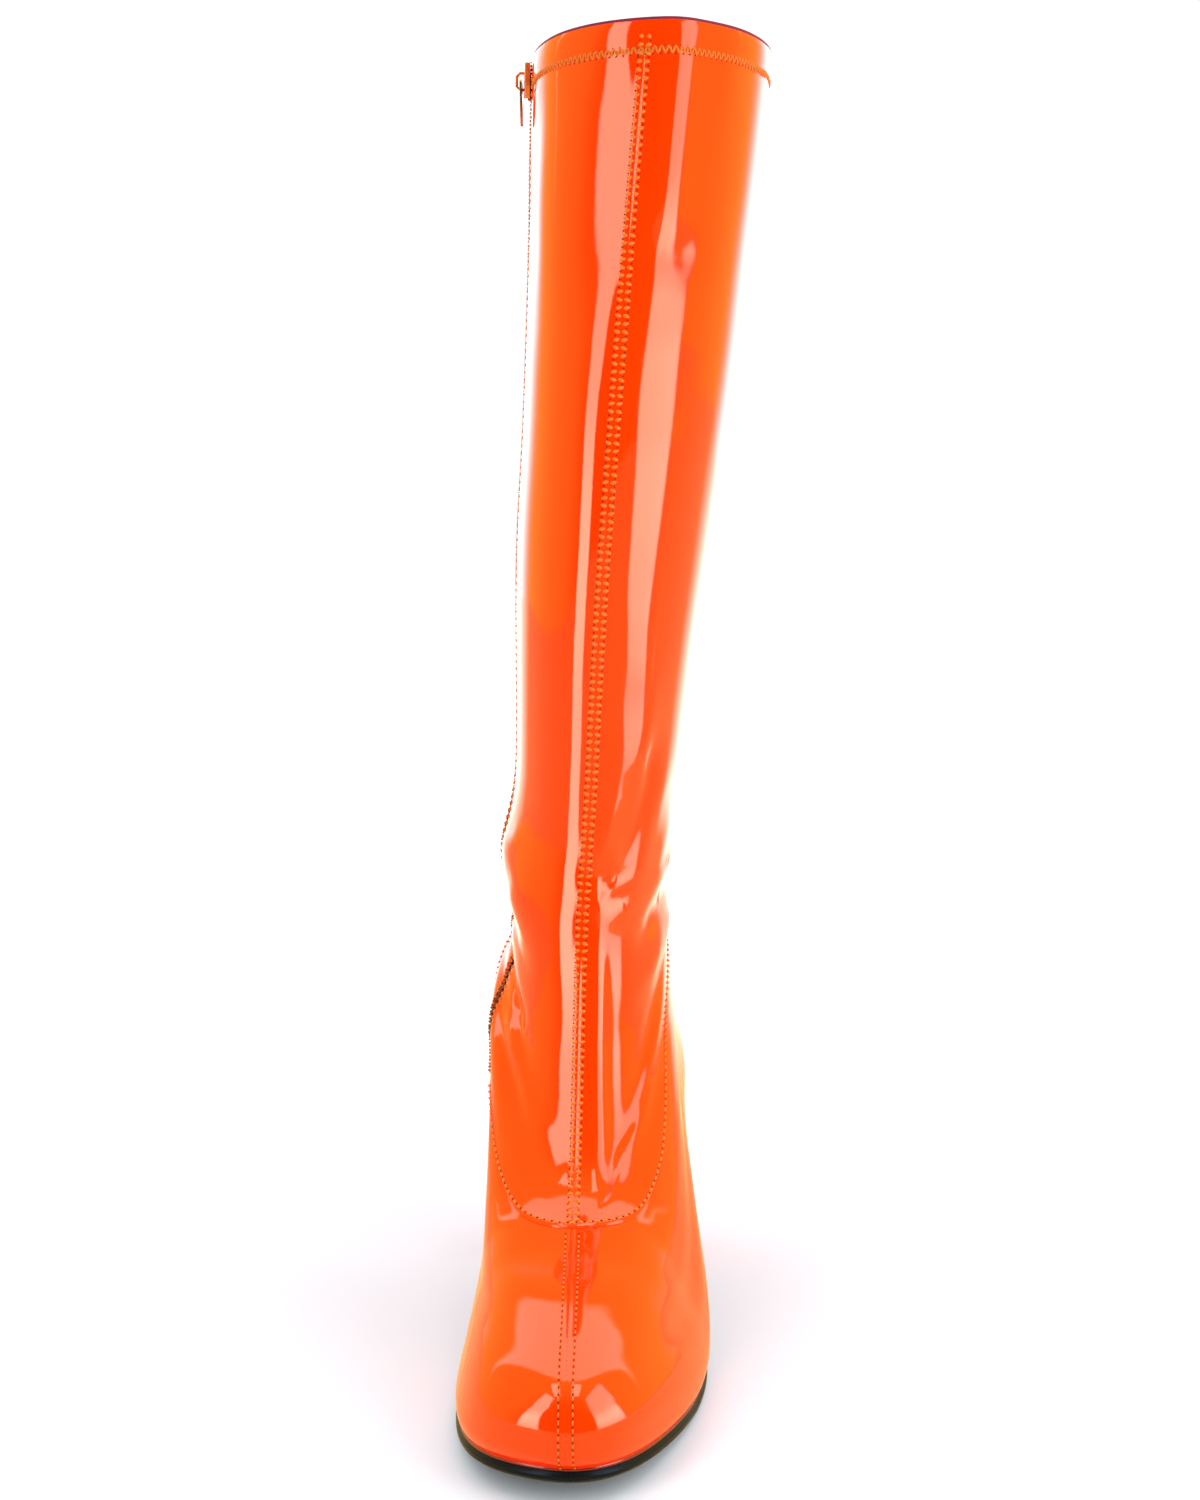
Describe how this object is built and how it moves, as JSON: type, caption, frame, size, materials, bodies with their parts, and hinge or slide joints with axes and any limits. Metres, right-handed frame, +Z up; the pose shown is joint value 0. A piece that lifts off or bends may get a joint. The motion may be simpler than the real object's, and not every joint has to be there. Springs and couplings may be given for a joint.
{
  "type": "go go boot",
  "caption": "Knee-high patent boot with a round toe, creased ankle, block heel and an inner side zip whose pull tab swings.",
  "frame": {"origin": "Middle of the heel's bearing face, on the floor that the boot stands on.", "axes": "+Z up along the shaft, -Y towards the toe, +X towards the outer (lateral) side of a left boot. Metres."},
  "size_m": [0.113, 0.2535, 0.4683],
  "materials": {
    "orange_patent": "stretch patent, mirror gloss",
    "heel_patent": "patent wrap, mirror gloss",
    "black_sole": "satin, bevelled edge",
    "black_lift": "matt",
    "pale_lining": "matt",
    "zip_tape_and_coil": "woven tape with a nylon coil",
    "lacquered_metal": "gloss lacquer",
    "copper_brown_metal": "polished, copper brown"
  },
  "bodies": {
    "boot": {"upper": "orange_patent", "outsole": "black_sole", "insole": "pale_lining", "heel_block": "heel_patent", "top_lift": "black_lift", "zip_chain": "zip_tape_and_coil", "slider": "lacquered_metal"},
    "tab": {"pull_tab": "copper_brown_metal"}
  },
  "joints": [
    {"name": "pull_tab_swing", "type": "hinge", "parent": "boot", "child": "tab", "pos_m": [-0.02217, -0.02042, 0.45967], "axis": [0, 1, 0], "range_deg": [-5, 150]}
  ]
}
